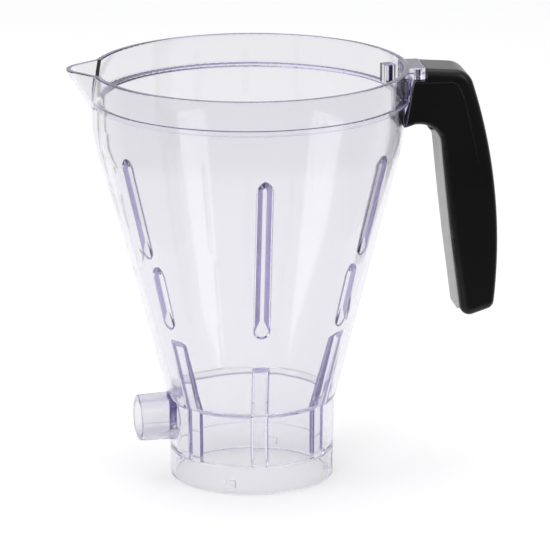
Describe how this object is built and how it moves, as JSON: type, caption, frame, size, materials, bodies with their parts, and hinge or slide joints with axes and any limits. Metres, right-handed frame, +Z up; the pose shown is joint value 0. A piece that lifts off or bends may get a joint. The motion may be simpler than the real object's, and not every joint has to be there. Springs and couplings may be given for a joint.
{
  "type": "food processor bowl",
  "caption": "Tall clear tapered blender or food processor bowl with a pouring spout, inner ribs, a tap stub on the base collar, an open socket below and a dark side handle.",
  "frame": {"origin": "on the jug's axis, in the plane of its foot, at the mouth of the socket for the blade unit", "axes": "+Z up along the jug's axis, +X out through the handle, the spout about along -X"},
  "size_m": [0.2037, 0.15, 0.2],
  "materials": {
    "clear_plastic": "clear, polished, faintly violet in its edges",
    "black_plastic": "satin moulded black",
    "grey_plastic": "fine-grained light grey",
    "steel": "plain"
  },
  "bodies": {
    "root": {"jug_body": "clear_plastic", "handle_shell": "black_plastic", "handle_strip": "grey_plastic", "handle_screw": "steel"}
  },
  "joints": []
}
